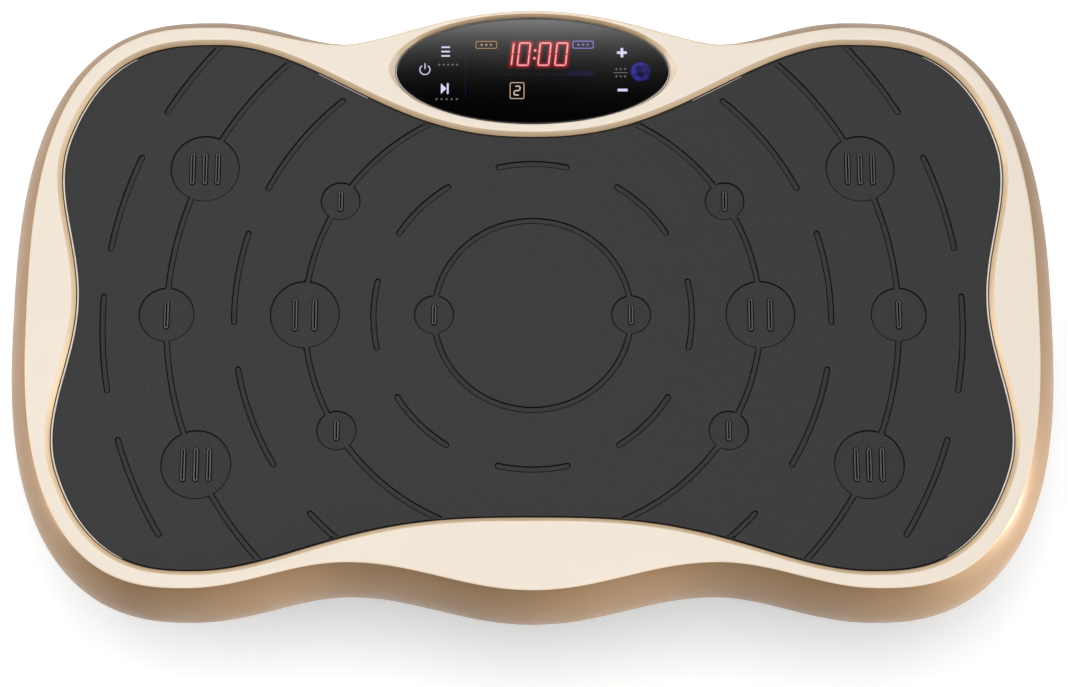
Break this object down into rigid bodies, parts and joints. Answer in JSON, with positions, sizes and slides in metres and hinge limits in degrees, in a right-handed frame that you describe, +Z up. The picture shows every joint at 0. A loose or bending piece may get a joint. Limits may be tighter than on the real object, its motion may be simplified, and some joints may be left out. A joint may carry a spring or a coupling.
{
  "type": "vibration plate",
  "caption": "Low rocking exercise platform: a waisted champagne deck with a dark ringed tread mat and an oval touch display, on a base tray with a belt-driven crank.",
  "frame": {"origin": "on the floor, in the middle of the overall width and depth", "axes": "+X to the user's right along the width, +Y towards the display, +Z up"},
  "size_m": [0.53, 0.319, 0.12],
  "materials": {
    "champagne_shell": "satin champagne paint over moulded plastic",
    "tread_rubber": "matte, fine grain",
    "black_lens": "polished, smoked",
    "circuit_board": "solder mask",
    "led_block": "smooth",
    "spring_steel": "bright",
    "screw_steel": "zinc plated",
    "steel_frame": "powder coated",
    "ground_steel": "ground",
    "bronze": "sintered",
    "cast_blocks": "as cast",
    "dark_tray": "fine spark-eroded grain",
    "foot_rubber": "matte",
    "motor_paint": "satin",
    "belt_rubber": "matte",
    "alloy": "machined",
    "standoff_brass": "turned",
    "winding": "varnished",
    "capacitor_sleeve": "shrink sleeve",
    "black_fitting": "moulded",
    "red_rocker": "moulded"
  },
  "bodies": {
    "base": {"base_tray": "dark_tray", "base_plate": "steel_frame", "foot_front_left": "foot_rubber", "foot_front_right": "foot_rubber", "foot_back_left": "foot_rubber", "foot_back_right": "foot_rubber", "foot_screws": "screw_steel", "pivot_block_front": "cast_blocks", "pivot_block_back": "cast_blocks", "pivot_bush_front": "bronze", "pivot_bush_back": "bronze", "pivot_block_screws": "screw_steel", "crank_block_front": "cast_blocks", "crank_block_back": "cast_blocks", "crank_bearing_front": "ground_steel", "crank_bearing_back": "ground_steel", "crank_block_screws": "screw_steel", "motor_can": "motor_paint", "motor_bracket": "steel_frame", "motor_screws": "screw_steel", "bracket_screws": "screw_steel", "drive_belt": "belt_rubber", "power_board": "circuit_board", "board_standoffs": "standoff_brass", "board_screws": "screw_steel", "transformer": "winding", "heat_sink": "alloy", "capacitors": "capacitor_sleeve", "power_inlet": "black_fitting", "inlet_screws": "screw_steel", "switch_housing": "black_fitting"},
    "deck": {"top_shell": "champagne_shell", "standing_mat": "tread_rubber", "display_lens": "black_lens", "display_board": "circuit_board", "led_module": "led_block", "touch_springs": "spring_steel", "ir_receiver": "led_block", "display_screws": "screw_steel", "deck_plate": "steel_frame", "deck_screws": "screw_steel", "beam_front": "steel_frame", "beam_back": "steel_frame", "pivot_bracket_front": "steel_frame", "pivot_bracket_back": "steel_frame", "pivot_shaft": "ground_steel", "shaft_clips": "spring_steel", "rod_clevis": "steel_frame", "clevis_screws": "screw_steel", "wrist_pin": "ground_steel", "wrist_clips": "spring_steel"},
    "crank": {"crank_shaft": "ground_steel", "eccentric_bearing": "ground_steel", "crank_pulley": "alloy"},
    "rotor": {"motor_shaft": "ground_steel", "motor_pulley": "alloy"},
    "rod": {"connecting_rod": "alloy"},
    "rocker": {"switch_rocker": "red_rocker"}
  },
  "joints": [
    {"name": "deck_rock", "type": "hinge", "parent": "base", "child": "deck", "pos_m": [0, 0, 0.046], "axis": [0, 1, 0], "range_deg": [-1.5, 1.5]},
    {"name": "crank_spin", "type": "hinge", "parent": "base", "child": "crank", "pos_m": [0.062, 0, 0.054], "axis": [0, 1, 0], "continuous": true},
    {"name": "motor_spin", "type": "hinge", "parent": "base", "child": "rotor", "pos_m": [0.15, 0, 0.052], "axis": [0, 1, 0], "continuous": true},
    {"name": "rod_swing", "type": "hinge", "parent": "crank", "child": "rod", "pos_m": [0.06362, 0, 0.054], "axis": [0, 1, 0], "continuous": true},
    {"name": "switch_rock", "type": "hinge", "parent": "base", "child": "rocker", "pos_m": [-0.075, 0.122, 0.04], "axis": [1, 0, 0], "range_deg": [-16, 0]}
  ],
  "couplings": [
    {"joint": "motor_spin", "follows": "crank_spin", "ratio": 2.5455},
    {"joint": "rod_swing", "follows": "crank_spin", "ratio": -1}
  ]
}
